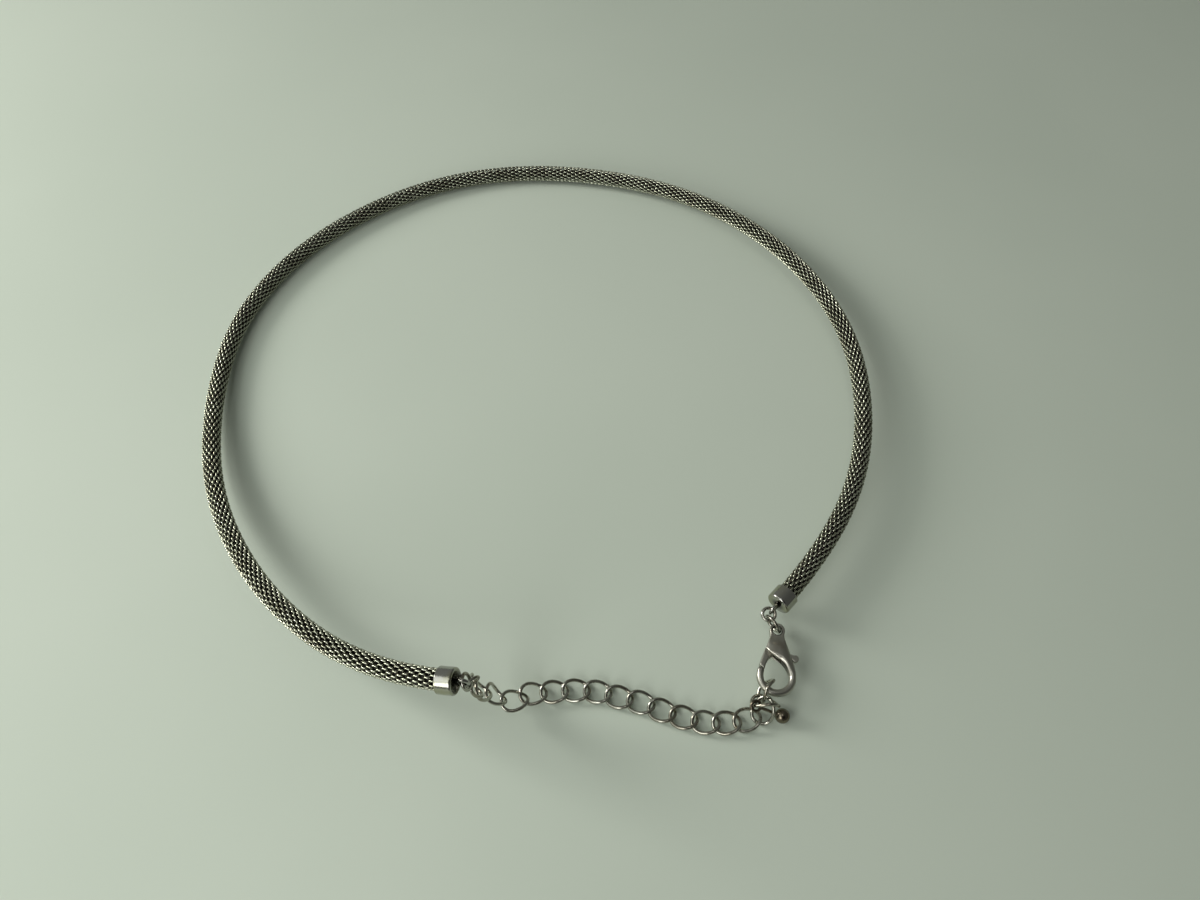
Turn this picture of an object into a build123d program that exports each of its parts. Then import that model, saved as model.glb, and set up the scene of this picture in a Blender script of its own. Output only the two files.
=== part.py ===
from build123d import *
from math import atan2, cos, degrees, pi, radians, sin, tan
import os

os.makedirs("parts", exist_ok=True)

# Woven tube, millimetres. Each row is x, y and the lift of the tube's underside from the table.
tube_diameter = 3.7
tube_wall = 0.8
tube_radius = tube_diameter / 2
tube_rows = [
    (-10.11, -67.01, 14.47),
    (-24.27, -64.58, 11.05),
    (-45.37, -49.88, 6.25),
    (-61.47, -27.48, 2.55),
    (-68.17, -1.68, 0.45),
    (-67.47, 23.02, 0.0),
    (-55.57, 45.32, 0.0),
    (-34.27, 62.72, 0.0),
    (-10.17, 70.22, 0.0),
    (17.23, 67.52, 0.55),
    (40.43, 56.62, 1.65),
    (58.83, 36.92, 2.65),
    (68.43, 12.52, 3.05),
    (67.03, -14.58, 2.95),
    (57.03, -36.48, 3.0),
    (45.78, -48.50, 3.0),
]
corner_share = 0.45

# End caps. The tube's end goes in by the insert depth.
cap_diameter = 4.5
cap_length = 2.9
cap_insert_depth = 2.0
cap_end_clearance = 0.1
cap_bore_clearance = 0.05
cap_shoulder_radius = 0.35
cap_mouth_radius = 0.12
eye_radius = 0.95
eye_wire = 0.6
eye_height = 1.15
eye_foot_diameter = 1.1
eye_foot_height = 0.4

# Jump rings: centre and axis of each.
ring_wire = 0.6
left_ring_radius = 1.3
left_ring_a_centre = (-7.76, -66.94, 15.74)
left_ring_a_axis = (0.92, 0.05, 0.39)
left_ring_b_centre = (-7.21, -66.40, 14.12)
left_ring_b_axis = (0.57, -0.81, -0.14)
right_ring_a_radius = 1.12
right_ring_a_centre = (43.45, -50.90, 4.59)
right_ring_a_axis = (-0.07, -0.22, 0.97)
right_ring_b_radius = 1.72
right_ring_b_centre = (44.17, -52.37, 3.67)
right_ring_b_axis = (-0.82, -0.56, -0.13)

# Curb links, each twisted into a saddle.
link_length = 5.28
link_width = 4.28
link_wire = 0.6
link_twist = 0.46
link_twist_rise = 1.06
link_corners = 12

# The links that hang from the left rings: centre, normal and long direction of each.
hanging_links = [
    ((-6.98, -66.21, 11.44), (0.92, 0.367, 0.136), (0.111, 0.091, -0.99)),
    ((-6.27, -65.77, 8.21), (0.825, 0.433, 0.362), (0.235, 0.321, -0.918)),
    ((-4.32, -65.51, 4.96), (0.77, 0.348, 0.535), (0.572, -0.003, -0.821)),
    ((-1.24, -65.81, 2.84), (0.265, 0.264, 0.927), (0.882, 0.322, -0.344)),
]

# The links that lie on the table. The rows are where their line starts, the centre of every
# link and where the line ends; a link points from the place before it to the place after it.
chain_across = (-0.37, 0.93, 0.0)
chain_places = [
    (-1.05, -65.37, 2.98),
    (1.83, -64.25, 1.67),
    (5.47, -63.74, 1.02),
    (9.21, -63.49, 0.89),
    (13.00, -63.73, 0.82),
    (16.73, -64.67, 0.80),
    (20.44, -65.61, 0.83),
    (24.03, -67.01, 0.88),
    (27.72, -68.19, 0.83),
    (31.43, -69.01, 0.81),
    (35.00, -69.08, 0.86),
    (38.49, -68.55, 0.98),
    (41.83, -66.48, 1.10),
]

# The three bunched links: centre, normal and long direction.
bunched_links = [
    ((41.27, -67.31, 1.99), (-0.48, -0.35, 0.8), (-0.39, -0.74, -0.56)),
    ((41.84, -64.04, 2.8), (0.89, -0.38, -0.25), (-0.37, -0.29, -0.88)),
    ((41.57, -66.15, 2.79), (0.05, 0.78, 0.62), (0.85, -0.36, 0.38)),
]

# End drop: a head pin with its eye, and the ball.
drop_eye_centre = (39.86, -66.92, 3.25)
drop_eye_axis = (0.26, -0.44, 0.86)
drop_eye_radius = 0.85
drop_eye_wire = 0.55
drop_shank_diameter = 0.55
ball_centre = (44.53, -68.04, 1.3)
ball_diameter = 2.6

# Lobster clasp: u runs across it, v from its eye to its hook, both in millimetres.
clasp_eye_centre = (44.83, -53.62, 3.35)
clasp_across = (0.9936, -0.113, 0.0)
clasp_along = (-0.113, -0.993, -0.03)
clasp_eye_radius = 1.35
clasp_hole_radius = 0.8
neck_inset = 0.1
neck_half_width = clasp_eye_radius - neck_inset
neck_v = 1.36
neck_start_v = 0.3
side_half_width = 2.36
side_v = 4.35
shoulder_half_width = 3.33
shoulder_v = 7.38
hook_bottom_v = 11.7
opening_radius = 2.15
opening_centre = (-0.1, 8.3)
opening_apex = (-1.2, 5.0)
opening_edge = (0.5, 5.5)
body_thickness = 2.1
eye_thickness = 1.3
ramp_start_v = 1.2
ramp_end_v = 2.9
hook_thickness = 1.3
taper_start_v = 5.6
taper_end_v = 9.6
body_edge_radius = 0.45
hook_edge_radius = 0.5
opening_edge_radius = 0.35
opening_reach = 3.2
opening_reach_centre = (-0.1, 7.5)
neck_fillet_radius = 1.5
near = 0.01

# Lever, its slot and its pin.
pivot = (-0.7, 3.5)
pin_diameter = 0.7
pin_fit = 0.02
pin_running = 0.05
slot_width = 1.2
slot_start_v = 2.2
slot_end_v = 5.6
lever_thin = 1.0
gate_thickness = 1.6
gate_inner_radius = 1.55
gate_start_v = 3.4
gate_edge_radius = 0.3
gate_long_edge = 1.8
boss_radius = 0.95
arm_half_width = 0.42
gate_overlap = 0.2
nub_centre = (3.2, 4.8)
nub_radius = 0.6
body_edge_left = (-1.9, 3.5)
body_edge_mid = (-1.2, 4.4)
seam_centre = (-2.75, 6.75)
seam_gap = 0.12
seam_reach = 1.7


def direction(start, end):
    """Unit vector from one point to another."""
    return (end - start).normalized()


def corner_arc(before, corner, after, report):
    """Tangent arc that rounds one corner, as its two tangent points and its middle."""
    run_in = direction(before, corner)
    run_out = direction(corner, after)
    half_turn = radians(run_in.get_angle(run_out)) / 2
    reach = corner_share * min((corner - before).length, (after - corner).length)
    radius = reach / tan(half_turn)
    if report:
        print("corner radius", round(radius, 1))
    first = corner - run_in * reach
    last = corner + run_out * reach
    middle = corner + (run_out - run_in).normalized() * (radius / cos(half_turn) - radius)
    return first, middle, last


def arc_route(points, closed=False, report=False):
    """Wire of straight runs joined by tangent arcs at the inner points, or at all of them."""
    points = [Vector(*point) for point in points]
    count = len(points)
    inner = range(count) if closed else range(1, count - 1)
    arcs = [
        corner_arc(points[i - 1], points[i], points[(i + 1) % count], report) for i in inner
    ]
    edges = []
    position = arcs[-1][2] if closed else points[0]
    for first, middle, last in arcs:
        edges.append(Line(position, first).edge())
        edges.append(ThreePointArc(first, middle, last).edge())
        position = last
    if not closed:
        edges.append(Line(position, points[-1]).edge())
    return Wire(edges)


def round_bar(path, diameter):
    """Round bar swept along a wire."""
    start = Plane(origin=path @ 0, z_dir=path % 0)
    return sweep(start * Circle(diameter / 2), path=path)


def round_loop(path, diameter):
    """Closed round bar, swept as two halves that meet end to end."""
    edges = path.edges()
    half = len(edges) // 2
    return round_bar(Wire(edges[:half]), diameter) + round_bar(Wire(edges[half:]), diameter)


def ring(centre, axis, radius, wire):
    """Round wire ring about an axis."""
    return Plane(origin=centre, z_dir=axis) * Torus(radius, wire / 2)


def save(shape, name):
    """Write one piece and print what it holds."""
    solids = shape.solids()
    print(name, "solids", len(solids), "valid", shape.is_valid, "volume", round(shape.volume, 2))
    export_step(shape, f"parts/{name}.step")


# Woven tube: hollow, along its whole route.
tube_points = [(x, y, lift + tube_radius) for x, y, lift in tube_rows]
tube_path = arc_route(tube_points, report=True)
mesh_tube = round_bar(tube_path, tube_diameter)
mesh_tube -= round_bar(tube_path, tube_diameter - 2 * tube_wall)
ring_area = pi * (tube_radius**2 - (tube_radius - tube_wall) ** 2)
print("tube length", round(tube_path.length, 1))
print("tube volume over section times length", mesh_tube.volume / (ring_area * tube_path.length))
save(mesh_tube, "mesh_tube")


def end_cap(tube_end, tube_next):
    """Cap over one end of the tube, with a soldered wire eye standing upright."""
    axis = direction(Vector(*tube_next), Vector(*tube_end))
    mouth = Vector(*tube_end) - axis * cap_insert_depth
    side = Vector(0, 0, 1).cross(axis).normalized()
    seat = Plane(origin=mouth, x_dir=side, z_dir=axis)
    cap = Pos(0, 0, cap_length / 2) * Cylinder(cap_diameter / 2, cap_length)
    cap = fillet(cap.edges().group_by(Axis.Z)[-1], cap_shoulder_radius)
    bore_depth = cap_insert_depth + cap_end_clearance
    bore_radius = tube_radius + cap_bore_clearance
    cap -= Pos(0, 0, bore_depth / 2) * Cylinder(bore_radius, bore_depth)
    cap = fillet(cap.edges().group_by(Axis.Z)[0].sort_by(SortBy.LENGTH)[-1], cap_mouth_radius)
    cap += Pos(0, 0, cap_length + eye_foot_height / 2) * Cylinder(
        eye_foot_diameter / 2, eye_foot_height
    )
    eye = Pos(0, 0, cap_length + eye_height) * (Plane.YZ * Torus(eye_radius, eye_wire / 2))
    return seat * (cap + eye)


save(end_cap(tube_points[0], tube_points[1]), "end_cap_left")
save(end_cap(tube_points[-1], tube_points[-2]), "end_cap_right")

# Jump rings.
left_ring_a = ring(left_ring_a_centre, left_ring_a_axis, left_ring_radius, ring_wire)
left_ring_b = ring(left_ring_b_centre, left_ring_b_axis, left_ring_radius, ring_wire)
right_ring_a = ring(right_ring_a_centre, right_ring_a_axis, right_ring_a_radius, ring_wire)
right_ring_b = ring(right_ring_b_centre, right_ring_b_axis, right_ring_b_radius, ring_wire)
save(left_ring_a, "jump_ring_left_a")
save(left_ring_b, "jump_ring_left_b")
save(right_ring_a, "jump_ring_right_a")
save(right_ring_b, "jump_ring_right_b")


def curb_link():
    """One curb link about the origin: an oval wire twisted into a saddle."""
    half_length = (link_length - link_wire) / 2
    half_width = (link_width - link_wire) / 2
    step = 2 * pi / link_corners
    reach = 1 / cos(step / 2)
    points = []
    for i in range(link_corners):
        angle = (i + 0.5) * step
        points.append(
            (
                half_length * reach * cos(angle),
                half_width * reach * sin(angle),
                -link_twist * link_twist_rise * sin(2 * angle),
            )
        )
    return round_loop(arc_route(points, closed=True), link_wire)


def placed(rows):
    """Planes of links whose centre, normal and long direction are given."""
    return [Plane(origin=centre, x_dir=along, z_dir=normal) for centre, normal, along in rows]


# Chain: every link is the same, hanging, lying along the chain's line or bunched.
link = curb_link()
link_planes = placed(hanging_links)
for before, centre, after in zip(chain_places, chain_places[1:], chain_places[2:]):
    along = direction(Vector(*before), Vector(*after))
    lean = Vector(*chain_across)
    across = lean - along * lean.dot(along)
    link_planes.append(Plane(origin=centre, x_dir=along, z_dir=along.cross(across)))
link_planes += placed(bunched_links)
for i, plane in enumerate(link_planes):
    save(plane.location * link, f"chain_link_{i + 1:02d}")

# End drop.
eye_centre = Vector(*drop_eye_centre)
eye_axis = Vector(*drop_eye_axis).normalized()
ball_point = Vector(*ball_centre)
to_ball = ball_point - eye_centre
flat_to_ball = (to_ball - eye_axis * to_ball.dot(eye_axis)).normalized()
shank_start = eye_centre + flat_to_ball * drop_eye_radius
shank_run = ball_point - shank_start
shank = Plane(origin=shank_start, z_dir=shank_run) * Cylinder(
    drop_shank_diameter / 2, shank_run.length, align=(Align.CENTER, Align.CENTER, Align.MIN)
)
end_drop = Pos(*ball_centre) * Sphere(ball_diameter / 2)
end_drop += shank
end_drop += ring(drop_eye_centre, drop_eye_axis, drop_eye_radius, drop_eye_wire)
save(end_drop, "end_drop")

# Clasp outline in its own plane.
clasp_normal = Vector(*clasp_across).cross(Vector(*clasp_along))
clasp_plane = Plane(origin=clasp_eye_centre, x_dir=clasp_across, z_dir=clasp_normal)


def face_of(*edges):
    """Flat face inside a closed run of edges."""
    return make_face([edge.edge() for edge in edges])


right_neck = (neck_half_width, neck_v)
left_neck = (-neck_half_width, neck_v)
right_start = (neck_half_width, neck_start_v)
left_start = (-neck_half_width, neck_start_v)
right_shoulder = (shoulder_half_width, shoulder_v)
left_shoulder = (-shoulder_half_width, shoulder_v)
teardrop = face_of(
    Line(left_start, right_start),
    Line(right_start, right_neck),
    ThreePointArc(right_neck, (side_half_width, side_v), right_shoulder),
    ThreePointArc(right_shoulder, (0, hook_bottom_v), left_shoulder),
    ThreePointArc(left_shoulder, (-side_half_width, side_v), left_neck),
    Line(left_neck, left_start),
)
opening_right = (opening_centre[0] + opening_radius, opening_centre[1])
opening_left = (opening_centre[0] - opening_radius, opening_centre[1])
opening_bottom = (opening_centre[0], opening_centre[1] + opening_radius)
opening = face_of(
    ThreePointArc(opening_right, opening_bottom, opening_left),
    TangentArc(opening_left, opening_apex, tangent=(0, -1)),
    Line(opening_apex, opening_edge),
    TangentArc(opening_right, opening_edge, tangent=(0, -1)),
)

# The seam runs at 45 degrees; the hook's side of it is set off by the gap.
seam_low = (seam_centre[0] - seam_reach, seam_centre[1] - seam_reach)
seam_high = (seam_centre[0] + seam_reach, seam_centre[1] + seam_reach)
seam_shift = seam_gap * sin(pi / 4)
window = make_face(
    Polyline(
        (seam_low[0] - seam_shift, seam_low[1] + seam_shift),
        (seam_high[0] - seam_shift, seam_high[1] + seam_shift),
        opening_edge,
        body_edge_mid,
        body_edge_left,
        (seam_low[0] - seam_shift, body_edge_left[1]),
        close=True,
    )
)
clasp_outline = teardrop + Circle(clasp_eye_radius)
neck_corners = [
    vertex for vertex in clasp_outline.vertices() if abs(vertex.Y - neck_v) < near
]
clasp_outline = fillet(neck_corners, neck_fillet_radius)


def slab(face, thickness):
    """Plate centred on the clasp's plane."""
    return extrude(face, amount=thickness / 2, both=True)


def drill(solid, radius, at):
    """Round hole right through a clasp piece."""
    return solid - Pos(at[0], at[1], 0) * Cylinder(radius, 2 * body_thickness)


def rims(solid, height):
    """Edges that lie round a plate's two faces."""
    return [edge for edge in solid.edges() if abs(abs(edge.center().Z) - height) < near]


def round_rims(solid, thickness, radius, longer_than):
    """Plate with the longer edges of both faces rounded."""
    edges = [edge for edge in rims(solid, thickness / 2) if edge.length > longer_than]
    return fillet(edges, radius)


def pierced_plate(thickness, outer_radius, inner_radius):
    """Clasp plate of even thickness with its opening, its gate's place and rounded rims."""
    plate = round_rims(slab(clasp_outline, thickness), thickness, outer_radius, 0)
    plate = plate - slab(opening, thickness) - slab(window, thickness)
    inner_rims = [
        edge
        for edge in rims(plate, thickness / 2)
        if (Vector(edge.center().X, edge.center().Y) - Vector(*opening_reach_centre)).length
        < opening_reach
    ]
    return fillet(inner_rims, inner_radius)


# The body is a thick plate thinned towards its eye and its hook, over a thin round-edged one.
half_body = body_thickness / 2
half_eye = eye_thickness / 2
half_hook = hook_thickness / 2
thickness_rows = [
    (-2 * clasp_eye_radius, half_eye),
    (ramp_start_v, half_eye),
    (ramp_end_v, half_body),
    (taper_start_v, half_body),
    (taper_end_v, half_hook),
]
side_points = thickness_rows + [(v, -half) for v, half in reversed(thickness_rows)]
side_face = make_face(Polyline(*side_points, close=True))
side_slab = extrude(Plane.YZ * side_face, amount=2 * shoulder_half_width, both=True)
clasp_body = pierced_plate(body_thickness, body_edge_radius, opening_edge_radius) & side_slab
clasp_body += pierced_plate(hook_thickness, hook_edge_radius, opening_edge_radius)
clasp_body = drill(clasp_body, clasp_hole_radius, (0, 0))
slot_length = slot_end_v - slot_start_v
slot_middle = (slot_start_v + slot_end_v) / 2
slot_box = Box(4 * shoulder_half_width, slot_length, slot_width)
clasp_body -= Pos(0, slot_middle, 0) * slot_box
clasp_body = drill(clasp_body, pin_diameter / 2 + pin_fit, pivot)
save(clasp_plane.location * clasp_body, "clasp_body")

# Lever: a thick gate outside the body, a thin part in the slot with the arm and nub.
gate_zone = make_face(
    Polyline(
        (seam_low[0], gate_start_v),
        seam_low,
        seam_high,
        (opening_apex[0] + gate_overlap, opening_apex[1]),
        (opening_apex[0] + gate_overlap, gate_start_v),
        close=True,
    )
)
gate_face = (teardrop - opening) & gate_zone
gate_cutter = Pos(*pivot) * Circle(gate_inner_radius)
gate = slab(gate_face - gate_cutter, gate_thickness)
gate = round_rims(gate, gate_thickness, gate_edge_radius, gate_long_edge)
arm_angle = degrees(atan2(nub_centre[1] - pivot[1], nub_centre[0] - pivot[0]))
arm_run = ((nub_centre[0] - pivot[0]) ** 2 + (nub_centre[1] - pivot[1]) ** 2) ** 0.5
arm = Pos(arm_run / 2, 0) * Rectangle(arm_run, 2 * arm_half_width)
arm = Pos(*pivot) * (Rot(0, 0, arm_angle) * arm)
thin_face = gate_face + Pos(*pivot) * Circle(boss_radius) + arm
thin_face += Pos(*nub_centre) * Circle(nub_radius)
clasp_lever = slab(thin_face, lever_thin) + gate
clasp_lever = drill(clasp_lever, pin_diameter / 2 + pin_running, pivot)
save(clasp_plane.location * clasp_lever, "clasp_lever")

# Pin, flush with the body's faces.
pin = Pos(*pivot) * Cylinder(pin_diameter / 2, body_thickness)
save(clasp_plane.location * pin, "clasp_pin")
print("lever pivot", clasp_plane.location * Pos(*pivot))
print("lever axis", clasp_plane.z_dir)
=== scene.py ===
from math import cos, hypot, pi, radians, sin

import bmesh
import bpy
from mathutils import Matrix, Vector


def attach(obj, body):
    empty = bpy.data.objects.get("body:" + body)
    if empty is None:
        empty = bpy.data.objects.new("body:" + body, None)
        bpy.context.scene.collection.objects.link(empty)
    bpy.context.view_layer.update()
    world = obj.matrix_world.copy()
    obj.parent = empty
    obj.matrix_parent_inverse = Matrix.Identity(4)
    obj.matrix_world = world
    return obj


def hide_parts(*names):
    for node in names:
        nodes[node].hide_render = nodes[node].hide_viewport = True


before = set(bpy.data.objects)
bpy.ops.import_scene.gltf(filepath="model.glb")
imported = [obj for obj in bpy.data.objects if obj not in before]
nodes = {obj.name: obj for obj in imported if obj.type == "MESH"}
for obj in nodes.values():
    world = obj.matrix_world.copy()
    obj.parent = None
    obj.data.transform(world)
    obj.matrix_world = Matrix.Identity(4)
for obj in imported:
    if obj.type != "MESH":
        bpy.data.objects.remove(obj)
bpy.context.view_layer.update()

# The camera is held in front of the clasp, 155 mm above the table, and looks down on the
# necklace with the wide view of a telephone.
camera_place = (0.01338, -0.11368, 0.155)
camera_down = radians(57)
sensor_width_mm = 36
focal_length_mm = 27
nearest_seen = 0.005
camera_data = bpy.data.cameras.new("camera")
camera_data.sensor_fit = "HORIZONTAL"
camera_data.sensor_width = sensor_width_mm
camera_data.lens = focal_length_mm
camera_data.clip_start = nearest_seen
camera = bpy.data.objects.new("camera", camera_data)
camera.location = camera_place
camera.rotation_euler = (pi / 2 - camera_down, 0, 0)
bpy.context.scene.collection.objects.link(camera)
bpy.context.scene.camera = camera

# Four soft sources light the necklace: a low and a far window at its left, a wide soft box
# above them and a small lamp in front. Each faces the table's middle, and their turns and
# rises are in degrees, their distances and sizes in metres and their powers in watts.
light_spread = radians(120)
daylight = (1.0, 0.985, 0.95)
lamp_white = (1.0, 1.0, 0.98)
box_white = (0.97, 1.0, 0.97)


def soft_light(name, turn, rise, distance, width, height, power, tint):
    """Rectangular source that faces the necklace from that turn and rise."""
    data = bpy.data.lights.new(name, "AREA")
    data.shape = "RECTANGLE"
    data.size = width
    data.size_y = height
    data.energy = power
    data.spread = light_spread
    data.color = tint
    turn = radians(turn)
    rise = radians(rise)
    bearing = Vector((cos(turn) * cos(rise), sin(turn) * cos(rise), sin(rise)))
    source = bpy.data.objects.new(name, data)
    source.location = bearing * distance
    source.rotation_euler = bearing.to_track_quat("Z", "Y").to_euler()
    bpy.context.scene.collection.objects.link(source)


soft_light("low_window", 168, 22, 0.52, 0.18, 0.18, 0.60, daylight)
soft_light("far_window", 165, 30, 1.0, 0.30, 0.30, 0.62, daylight)
soft_light("near_lamp", 240, 25, 0.35, 0.15, 0.15, 0.13, lamp_white)
soft_light("soft_box", 200, 45, 0.5, 0.55, 0.20, 0.21, box_white)
bpy.context.scene.view_settings.view_transform = "Standard"

# The room round the table is plain and pale grey, lighter on the windows' side, with a dark
# patch overhead and one ceiling lamp. Its shader is made with the same two small classes as
# the metals further down.
room_light = (0.28, 0.29, 0.27, 1)
room_dim = (0.11, 0.115, 0.105, 1)
patch_dark = (0.015, 0.014, 0.015, 1)
lamp_light = (1.9, 1.9, 1.85, 1)
window_side = (-1, 0, 0)
patch_side = (0.08, -0.59, 0.8)
lamp_side = (-0.15, -0.08, 0.985)
walls_fade = (-0.8, 0.8)
patch_edge = (0.82, 0.95)
lamp_edge = (0.981, 0.989)


class Value:
    """A shader node's output that can be used in sums."""

    def __init__(self, paint, out):
        self.paint = paint
        self.out = out

    def math(self, operation, *others):
        inputs = dict(enumerate((self, *others)))
        return self.paint.node("ShaderNodeMath", {"operation": operation}, inputs)

    def __add__(self, other):
        return self.math("ADD", other)

    def __mul__(self, other):
        return self.math("MULTIPLY", other)

    __radd__ = __add__
    __rmul__ = __mul__

    def step(self, low, high):
        """0 below low, 1 above high, smooth between."""
        return self.paint.node(
            "ShaderNodeMapRange",
            {"interpolation_type": "SMOOTHSTEP"},
            {"Value": self, "From Min": low, "From Max": high},
        )


class Paint:
    """A node tree, for a material or for the room, that makes its nodes from one call."""

    def __init__(self, tree):
        self.tree = tree
        self.tree.nodes.clear()

    def node(self, kind, settings=None, inputs=None, output=0):
        """A new node with these settings and inputs, as the value of one of its outputs."""
        made = self.tree.nodes.new(kind)
        for name, value in (settings or {}).items():
            setattr(made, name, value)
        for name, value in (inputs or {}).items():
            if isinstance(value, Value):
                self.tree.links.new(value.out, made.inputs[name])
            else:
                made.inputs[name].default_value = value
        return Value(self, made.outputs[output] if made.outputs else None)

    def blend(self, share, first, second):
        """First colour where share is 0, second where it is 1."""
        made = self.tree.nodes.new("ShaderNodeMix")
        made.data_type = "RGBA"
        for socket, value in ((0, share), (6, first), (7, second)):
            if isinstance(value, Value):
                self.tree.links.new(value.out, made.inputs[socket])
            else:
                made.inputs[socket].default_value = value
        return Value(self, made.outputs[2])


room = bpy.data.worlds.new("room")
room.use_nodes = True
bpy.context.scene.world = room
room_paint = Paint(room.node_tree)
direction = room_paint.node("ShaderNodeTexCoord")


def toward(axis):
    """How far the direction points along an axis."""
    return room_paint.node(
        "ShaderNodeVectorMath", {"operation": "DOT_PRODUCT"}, {0: direction, 1: axis}, output=1
    )


walls = room_paint.blend(toward(window_side).step(*walls_fade), room_dim, room_light)
patch = toward(patch_side).step(*patch_edge)
ceiling_lamp = toward(lamp_side).step(*lamp_edge)
walls_and_patch = room_paint.blend(patch, walls, patch_dark)
surroundings = room_paint.blend(ceiling_lamp, walls_and_patch, lamp_light)
backdrop = room_paint.node("ShaderNodeBackground", {}, {"Color": surroundings})
room_paint.node("ShaderNodeOutputWorld", {}, {"Surface": backdrop})

# The table top is a plain board with a satin coat of pale paint, rolled on, which leaves a
# faint grain and slightly deeper clouds. It lies a hair below the necklace.
table_half = 1.6
table_drop = 0.00003
table_colour = (0.63, 0.70, 0.60, 1)
table_colour_deep = (0.60, 0.672, 0.573, 1)
table_roughness = 0.68
cloud_roughness = 0.1
cloud_scale = 9.0
cloud_edge = (0.3, 0.7)
grain_scale = 900.0
grain_strength = 0.05
grain_height = 0.0002
table_shine = 0.3
table_mesh = bpy.data.meshes.new("table")
shape = bmesh.new()
bmesh.ops.create_grid(shape, x_segments=1, y_segments=1, size=table_half)
bmesh.ops.translate(shape, verts=shape.verts, vec=(0, 0, -table_drop))
shape.to_mesh(table_mesh)
shape.free()
table = bpy.data.objects.new("table", table_mesh)
bpy.context.scene.collection.objects.link(table)

table_paint = bpy.data.materials.new("painted board")
table_paint.use_nodes = True
board_paint = Paint(table_paint.node_tree)
board_place = board_paint.node("ShaderNodeTexCoord", output=3)
clouds = board_paint.node(
    "ShaderNodeTexNoise", {}, {"Vector": board_place, "Scale": cloud_scale, "Detail": 3.0}
)
grain = board_paint.node(
    "ShaderNodeTexNoise", {}, {"Vector": board_place, "Scale": grain_scale, "Detail": 2.0}
)
board_surface = board_paint.node(
    "ShaderNodeBump", {}, {"Height": grain, "Strength": grain_strength, "Distance": grain_height}
)
board_colour = board_paint.blend(clouds.step(*cloud_edge), table_colour, table_colour_deep)
board_shader = board_paint.node(
    "ShaderNodeBsdfPrincipled",
    {},
    {
        "Base Color": board_colour,
        "Roughness": table_roughness + clouds * cloud_roughness,
        "Specular IOR Level": table_shine,
        "Normal": board_surface,
    },
)
board_paint.node("ShaderNodeOutputMaterial", {}, {"Surface": board_shader})
table_mesh.materials.append(table_paint)

# The necklace's body is a round tube, knitted of fine plated steel wire. Each turn of the
# tube is a ring of small coils, linked through the rings on both sides of it, and its two ends
# are held in the caps. The wire is painted darker towards the tube's middle, as painted shade
# in its recesses, and a dark core inside stands for the shade in the hollow tube.
# The tarnish colour below is tarnish on the caps' ends, and painted shade in the weave's recesses
# and in the clasp's eye and opening.
tarnish_and_shade = (0.08, 0.076, 0.066, 1)
worn_scale = 260.0
worn_fade = 0.2
worn_roughness = 0.06
mark_scale = 2600.0
mark_roughness = 0.12
mark_height = 0.00005

wire_diameter = 0.00034
tube_radius = 0.00185
coil_depth = 0.00038
coil_reach = 0.00058
coil_spacing = 0.00096
coils_round = 12
coil_lean = 0.90
coil_steps = 10
# Painted shade: the core is a dark tube for the shade inside the hollow weave, and the wire is
# painted darker inside the outer of the two radii below, fully dark inside the inner one.
shade_core_radius = 0.00090
recess_radius = 0.00135
unshaded_radius = 0.00172
tube_parts = 4
route_steps = 40

# Places chosen along the tube's middle line, from the left cap round to the right one.
route_points = [
    (-0.01011, -0.06701, 0.01632),
    (-0.02427, -0.06458, 0.01290),
    (-0.04537, -0.04988, 0.00810),
    (-0.06147, -0.02748, 0.00440),
    (-0.06817, -0.00168, 0.00230),
    (-0.06747, 0.02302, 0.00185),
    (-0.05557, 0.04532, 0.00185),
    (-0.03427, 0.06272, 0.00185),
    (-0.01017, 0.07022, 0.00185),
    (0.01723, 0.06752, 0.00240),
    (0.04043, 0.05662, 0.00350),
    (0.05883, 0.03692, 0.00450),
    (0.06843, 0.01252, 0.00490),
    (0.06703, -0.01458, 0.00480),
    (0.05703, -0.03648, 0.00485),
    (0.04578, -0.04850, 0.00485),
]


def plated_metal(name, colour, worn_colour, worn_from, polish, unevenness, tarnish_and_shade_share=None):
    """Plated metal: its colour, where the plating is thin, its roughness and its ripples.
    The last argument makes the value that is 0 where the metal is darkened, by tarnish on
    the caps' ends and by painted shade on the weave and the clasp, and 1 where it is not."""
    material = bpy.data.materials.new(name)
    material.use_nodes = True
    paint = Paint(material.node_tree)
    place = paint.node("ShaderNodeTexCoord", output=3)
    patches = paint.node(
        "ShaderNodeTexNoise", {}, {"Vector": place, "Scale": worn_scale, "Detail": 3.0}
    )
    marks = paint.node(
        "ShaderNodeTexNoise", {}, {"Vector": place, "Scale": mark_scale, "Detail": 3.0}
    )
    worn = patches.step(worn_from, worn_from + worn_fade)
    tone = paint.blend(worn, colour, worn_colour)
    # Where that share is 0, the colour turns to the tarnish colour: tarnish on the caps, painted
    # shade on the weave and the clasp.
    if tarnish_and_shade_share:
        tone = paint.blend(tarnish_and_shade_share(paint, place), tarnish_and_shade, tone)
    surface = paint.node(
        "ShaderNodeBump", {}, {"Height": marks, "Strength": unevenness, "Distance": mark_height}
    )
    shader = paint.node(
        "ShaderNodeBsdfPrincipled",
        {},
        {
            "Base Color": tone,
            "Metallic": 1.0,
            "Roughness": polish + marks * mark_roughness + worn * worn_roughness,
            "Normal": surface,
        },
    )
    paint.node("ShaderNodeOutputMaterial", {}, {"Surface": shader})
    return material


def unshaded_share(paint, place):
    """The share that a piece's own attribute gives: 0 in its recesses, where shade is painted,
    and 1 outside.
    """
    return paint.node("ShaderNodeAttribute", {"attribute_name": "outward"}, output=2)


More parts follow.
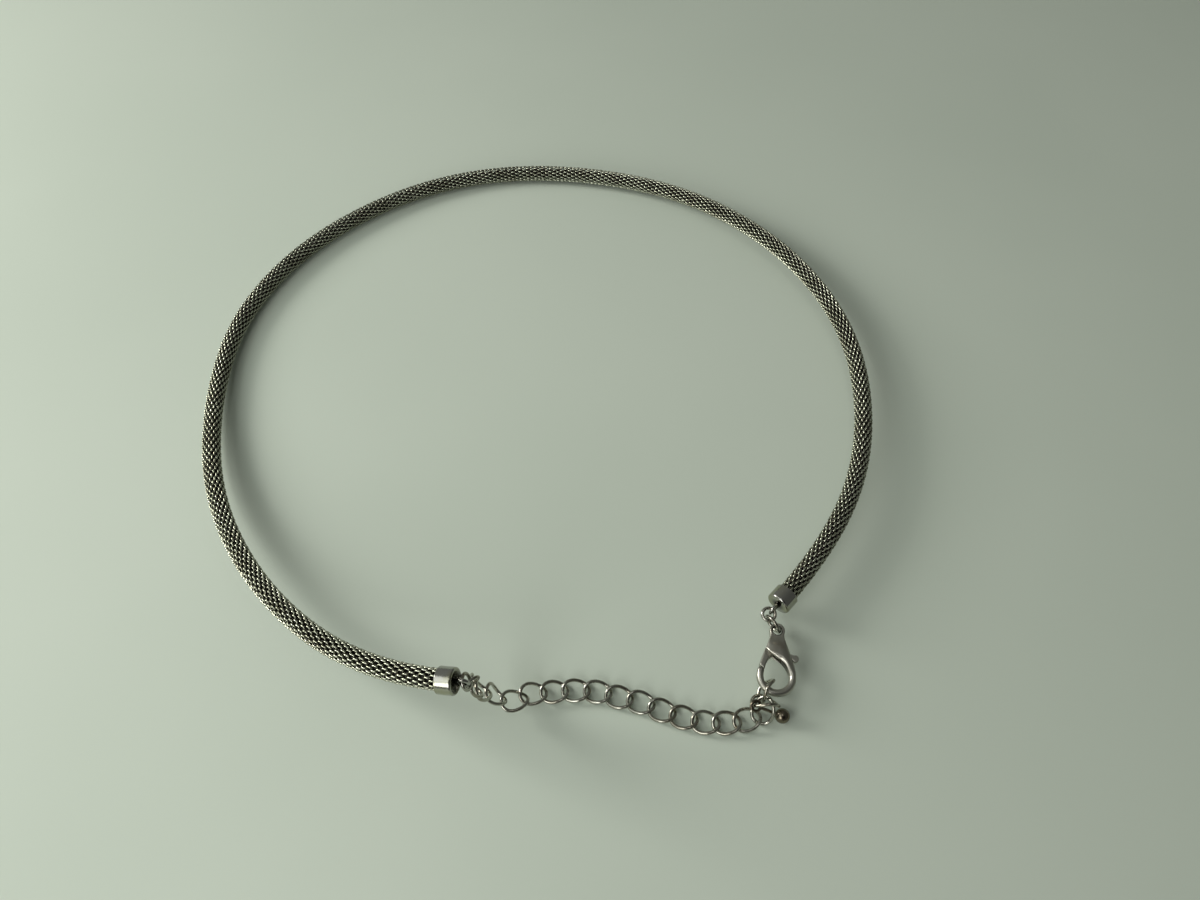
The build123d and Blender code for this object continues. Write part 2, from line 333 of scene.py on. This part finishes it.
def route_curve(name, points):
    """Smooth open curve with these points as its control points."""
    curve = bpy.data.curves.new(name, "CURVE")
    curve.dimensions = "3D"
    curve.resolution_u = route_steps
    spline = curve.splines.new("NURBS")
    spline.points.add(len(points) - 1)
    for point, place in zip(spline.points, points):
        point.co = (*place, 1)
    spline.order_u = 3
    spline.use_endpoint_u = True
    return curve


def as_mesh(blank):
    """The final mesh of a curve's object, or of one with modifiers, which it then removes."""
    bpy.context.scene.collection.objects.link(blank)
    bpy.context.view_layer.update()
    mesh = bpy.data.meshes.new_from_object(
        blank.evaluated_get(bpy.context.evaluated_depsgraph_get())
    )
    bpy.data.objects.remove(blank)
    return mesh


route_mesh = as_mesh(bpy.data.objects.new("route", route_curve("route", route_points)))
route = [vertex.co.copy() for vertex in route_mesh.vertices]
reached = [0.0]
for before, after in zip(route, route[1:]):
    reached.append(reached[-1] + (after - before).length)

# Frames that turn as little as they can along the route, one for each ring of coils.
ring_count = round(reached[-1] / coil_spacing)
first_ring = coil_reach
last_ring = reached[-1] - coil_reach
side = Vector((0, 0, 1))
here = 0
ring_frames = []
for ring in range(ring_count):
    distance = first_ring + (last_ring - first_ring) * ring / (ring_count - 1)
    while reached[here + 1] < distance:
        here += 1
    share = (distance - reached[here]) / (reached[here + 1] - reached[here])
    centre = route[here].lerp(route[here + 1], share)
    along = (route[here + 1] - route[here]).normalized()
    side = (side - along * side.dot(along)).normalized()
    ring_frames.append((centre, along, side.copy(), along.cross(side)))

steel = plated_metal(
    "steel wire",
    colour=(0.50, 0.515, 0.405, 1),
    worn_colour=(0.38, 0.38, 0.29, 1),
    worn_from=0.45,
    polish=0.08,
    unevenness=0.15,
    tarnish_and_shade_share=unshaded_share,
)
coil_middle = tube_radius - wire_diameter / 2 - coil_depth
for part in range(tube_parts):
    curve = bpy.data.curves.new("coils", "CURVE")
    curve.dimensions = "3D"
    curve.bevel_depth = wire_diameter / 2
    curve.bevel_resolution = 1
    first = ring_count * part // tube_parts
    last = ring_count * (part + 1) // tube_parts
    for ring in range(first, last):
        centre, along, side, up = ring_frames[ring]
        spline = curve.splines.new("POLY")
        count = coils_round * coil_steps
        spline.points.add(count - 1)
        for step, point in enumerate(spline.points):
            phase = 2 * pi * step / coil_steps
            turn = (phase - coil_lean * sin(2 * phase) + pi * (ring % 2)) / coils_round
            radius = coil_middle + coil_depth * cos(phase)
            spoke = side * cos(turn) + up * sin(turn)
            point.co = (*(centre + along * (coil_reach * sin(phase)) + spoke * radius), 1)
        spline.use_cyclic_u = True
    name = f"mesh_wire_{part + 1}"
    mesh = as_mesh(bpy.data.objects.new(name, curve))
    mesh.materials.clear()
    mesh.materials.append(steel)
    # Painted shade: each point of the wire gets a share, from 0 near the tube's middle to 1 at its
    # outside, that darkens the wire's colour towards the middle.
    outward = mesh.attributes.new("outward", "FLOAT", "POINT")
    per_ring = len(mesh.vertices) // (last - first)
    for vertex, value in zip(mesh.vertices, outward.data):
        centre, along, side, up = ring_frames[first + vertex.index // per_ring]
        spoke = vertex.co - centre
        radius = (spoke - along * spoke.dot(along)).length
        share = (radius - recess_radius) / (unshaded_radius - recess_radius)
        value.value = min(max(share, 0), 1)
    piece = bpy.data.objects.new(name, mesh)
    bpy.context.scene.collection.objects.link(piece)
    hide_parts("mesh_tube")
    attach(piece, "necklace")

# The core is painted shade: a dark tube put inside the hollow weave, where there is only shade.
core_curve = route_curve("core", route_points)
core_curve.bevel_depth = shade_core_radius
core_curve.bevel_resolution = 3
core_mesh = as_mesh(bpy.data.objects.new("core", core_curve))
core = bpy.data.objects.new("mesh_core", core_mesh)
shade_core_metal = plated_metal(
    "painted shade core",
    colour=(0.08, 0.078, 0.068, 1),
    worn_colour=(0.05, 0.05, 0.045, 1),
    worn_from=0.45,
    polish=0.55,
    unevenness=0.3,
)
core_mesh.materials.clear()
core_mesh.materials.append(shade_core_metal)
bpy.context.scene.collection.objects.link(core)
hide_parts("mesh_tube")
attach(core, "necklace")

# The two end caps are turned and brightly plated, and pressed over the tube's ends. Each has
# a wire eye, soldered to the middle of its end, where some tarnish has stayed. There is less
# of it on the right cap.
left_cap_end = (-0.00925, -0.06716, 0.01653)
right_cap_end = (0.04517, -0.04916, 0.00485)
right_cap_cleaned = 0.0006
solder_edge = (0.0011, 0.0022)


def off_cap_end(paint, place):
    """0 round the solder on a cap's end, 1 from the cap's rim on."""
    from_left, from_right = [
        paint.node("ShaderNodeVectorMath", {"operation": "DISTANCE"}, {0: place, 1: end}, output=1)
        for end in (left_cap_end, right_cap_end)
    ]
    return from_left.math("MINIMUM", from_right + right_cap_cleaned).step(*solder_edge)


def finish_nodes(material, *names):
    """Give CAD pieces their finish."""
    for name in names:
        for slot in nodes[name].material_slots:
            slot.material = material


cap_metal = plated_metal(
    "bright cap",
    colour=(0.39, 0.385, 0.36, 1),
    worn_colour=(0.36, 0.355, 0.26, 1),
    worn_from=0.5,
    polish=0.06,
    unevenness=0.1,
    tarnish_and_shade_share=off_cap_end,
)
finish_nodes(cap_metal, "end_cap_left", "end_cap_right")

# Four jump rings, bent of round plated wire and pressed shut, hang in pairs from the caps'
# eyes. The left pair carries the chain and the right pair the clasp.
ring_metal = plated_metal(
    "ring wire",
    colour=(0.37, 0.365, 0.32, 1),
    worn_colour=(0.27, 0.25, 0.20, 1),
    worn_from=0.45,
    polish=0.08,
    unevenness=0.2,
)
finish_nodes(
    ring_metal,
    "jump_ring_left_a",
    "jump_ring_left_b",
    "jump_ring_right_a",
    "jump_ring_right_b",
)

# The extension chain is made of curb links, bent of plated wire and twisted so that each lies
# flat against the next. It runs from the left rings to the clasp's hook, which holds the last
# link but one.
chain_metal = plated_metal(
    "chain wire",
    colour=(0.41, 0.405, 0.35, 1),
    worn_colour=(0.31, 0.29, 0.235, 1),
    worn_from=0.45,
    polish=0.08,
    unevenness=0.2,
)
finish_nodes(chain_metal, *[name for name in nodes if name.startswith("chain_link")])

# The drop that closes the chain is a small ball on a headed pin, in a browner plating. The
# pin is bent into an eye round the chain's last link.
drop_metal = plated_metal(
    "drop metal",
    colour=(0.24, 0.215, 0.165, 1),
    worn_colour=(0.15, 0.125, 0.09, 1),
    worn_from=0.45,
    polish=0.12,
    unevenness=0.25,
)
finish_nodes(drop_metal, "end_drop")

# The lobster clasp is a cast body with a gate that a spring keeps shut, turning on a riveted
# pin. Body and gate are tumbled smooth and plated. They start from the CAD pieces, and the
# body is crowned, with a lip over its opening and a round hook.
clasp_finish = {
    "colour": (0.45, 0.44, 0.385, 1),
    "worn_colour": (0.39, 0.36, 0.295, 1),
    "worn_from": 0.5,
    "polish": 0.25,
    "unevenness": 0.2,
}
clasp_metal = plated_metal("cast clasp", **clasp_finish)
# The body's metal darkens its eye's hole and its opening's upper wall with painted shade.
body_metal = plated_metal("cast clasp body", **clasp_finish, tarnish_and_shade_share=unshaded_share)
finish_nodes(clasp_metal, "clasp_pin")

# In the clasp's own frame u runs across it, v from its eye to its hook and w through it.
eye_centre = Vector((0.04483, -0.05362, 0.00335))
across = Vector((0.9936, -0.113, 0))
along = Vector((-0.113, -0.993, -0.03))
through = across.cross(along).normalized()
pivot_place = (-0.0007, 0.0035)
plug_radius = 0.00042
plug_sides = 24
slot_half = 0.0006
body_half = 0.00105
neck_half = 0.00125
neck_v = 0.00136
side_slope = 0.346
edge_half = 0.00074
crown_half = 0.00128
crown_reach = 0.0017
crown_rises_v = (0.0012, 0.0034)
crown_fades_v = (0.0058, 0.0080)
lip_centre = (-0.00125, 0.0083)
lip_radius = 0.0033
lip_reach = 0.0008
lip_start = (-0.0012, 0.0050)
lip_up = (0.282, -0.959)
lip_rises_u = (-0.0020, -0.0011)
bow_centre = (-0.00005, 0.00828)
bar_middle = 0.0028
bar_half = 0.00064
bar_depth = 0.00065
bar_rises_v = (0.0064, 0.0084)
taper_start = 0.0056
taper_end = 0.0096
wall_edge = (0.00003, 0.00025)
wall_fades_v = (0.0062, 0.0084)
eye_edge = (0.00082, 0.00108)
weld_distance = 0.000001


def ramp(value, low, high):
    """0 below low, 1 above high, smooth between."""
    share = min(max((value - low) / (high - low), 0), 1)
    return share * share * (3 - 2 * share)


def in_clasp(place):
    """A point's u, v and w, and how far it lies outside the upper half of the opening."""
    spoke = place - eye_centre
    u, v, w = spoke.dot(across), spoke.dot(along), spoke.dot(through)
    from_arc = hypot(u - lip_centre[0], v - lip_centre[1]) - lip_radius
    from_line = (u - lip_start[0]) * lip_up[0] + (v - lip_start[1]) * lip_up[1]
    return u, v, w, max(from_arc, from_line)


def crowned(place):
    """A point of the flat clasp body, moved to where the crowned body and the hook's round
    bar have it."""
    u, v, w, from_edge = in_clasp(place)
    inside = neck_half + side_slope * (v - neck_v) - abs(u)
    rise = 1 - (1 - min(max(inside / crown_reach, 0), 1)) ** 2
    lip = ramp(u, *lip_rises_u) * (1 - min(max(from_edge / lip_reach, 0), 1)) ** 2
    rise = min(rise, 1 - lip)
    half = edge_half + (crown_half - edge_half) * rise
    share = ramp(v, *crown_rises_v) * (1 - ramp(v, *crown_fades_v))
    over = max(abs(w) - slot_half, 0)
    lift = over * ((half - slot_half) / (body_half - slot_half) - 1) * share
    place = place + through * (lift if w > 0 else -lift)
    spoke = Vector((u - bow_centre[0], v - bow_centre[1]))
    taper = min(max((taper_end - v) / (taper_end - taper_start), 0), 1)
    off_bar = spoke.length - bar_middle
    outside = hypot(off_bar / bar_half, w / (bar_depth + (body_half - bar_depth) * taper))
    pull = (1 - 1 / max(outside, 1)) * ramp(v, *bar_rises_v)
    spoke.normalize()
    outward = across * spoke.x + along * spoke.y
    return place - (outward * off_bar + through * w) * pull


def clasp_unshaded(place):
    """0 in the eye's hole and on the opening's upper wall, where shade is painted, 1 elsewhere."""
    u, v, w, from_edge = in_clasp(place)
    wall = (1 - ramp(from_edge, *wall_edge)) * (1 - ramp(v, *wall_fades_v))
    return min(1 - wall, ramp(hypot(u, v), *eye_edge))


def cast(name, source, grain_size, passes, moved=None):
    """Copy of a CAD piece with its edges rounded over, as tumbling leaves a casting. Where
    its points are moved, the pin's holes are filled first, as the rivet fills them."""
    shape = bmesh.new()
    shape.from_mesh(nodes[source].data)
    bmesh.ops.remove_doubles(shape, verts=shape.verts, dist=weld_distance)
    if moved:
        turn = through.to_track_quat("Z", "Y").to_matrix().to_4x4()
        for side in (-1, 1):
            centre = eye_centre + across * pivot_place[0] + along * pivot_place[1]
            centre += through * (side * (slot_half + body_half) / 2)
            bmesh.ops.create_cone(
                shape,
                cap_ends=True,
                segments=plug_sides,
                radius1=plug_radius,
                radius2=plug_radius,
                depth=body_half - slot_half,
                matrix=Matrix.Translation(centre) @ turn,
            )
    mesh = bpy.data.meshes.new(name)
    shape.to_mesh(mesh)
    shape.free()
    blank = bpy.data.objects.new(name, mesh)
    skin = blank.modifiers.new("skin", "REMESH")
    skin.mode = "VOXEL"
    skin.voxel_size = grain_size
    skin.use_smooth_shade = True
    mesh = as_mesh(blank)
    if moved:
        for vertex in mesh.vertices:
            vertex.co = moved(vertex.co)
        # Painted shade in the eye's hole and on the opening's upper wall.
        outward = mesh.attributes.new("outward", "FLOAT", "POINT")
        for vertex, value in zip(mesh.vertices, outward.data):
            value.value = clasp_unshaded(vertex.co)
    mesh.materials.clear()
    mesh.materials.append(body_metal if moved else clasp_metal)
    piece = bpy.data.objects.new(name, mesh)
    bpy.context.scene.collection.objects.link(piece)
    worn = piece.modifiers.new("worn", "SMOOTH")
    worn.factor = 0.5
    worn.iterations = passes
    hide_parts(source)
    return piece


clasp_body = cast(
    "clasp_body_cast", "clasp_body", grain_size=0.00007, passes=24, moved=crowned
)
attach(clasp_body, "necklace")
clasp_lever = cast("clasp_lever_cast", "clasp_lever", grain_size=0.00006, passes=14)
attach(clasp_lever, "lever")
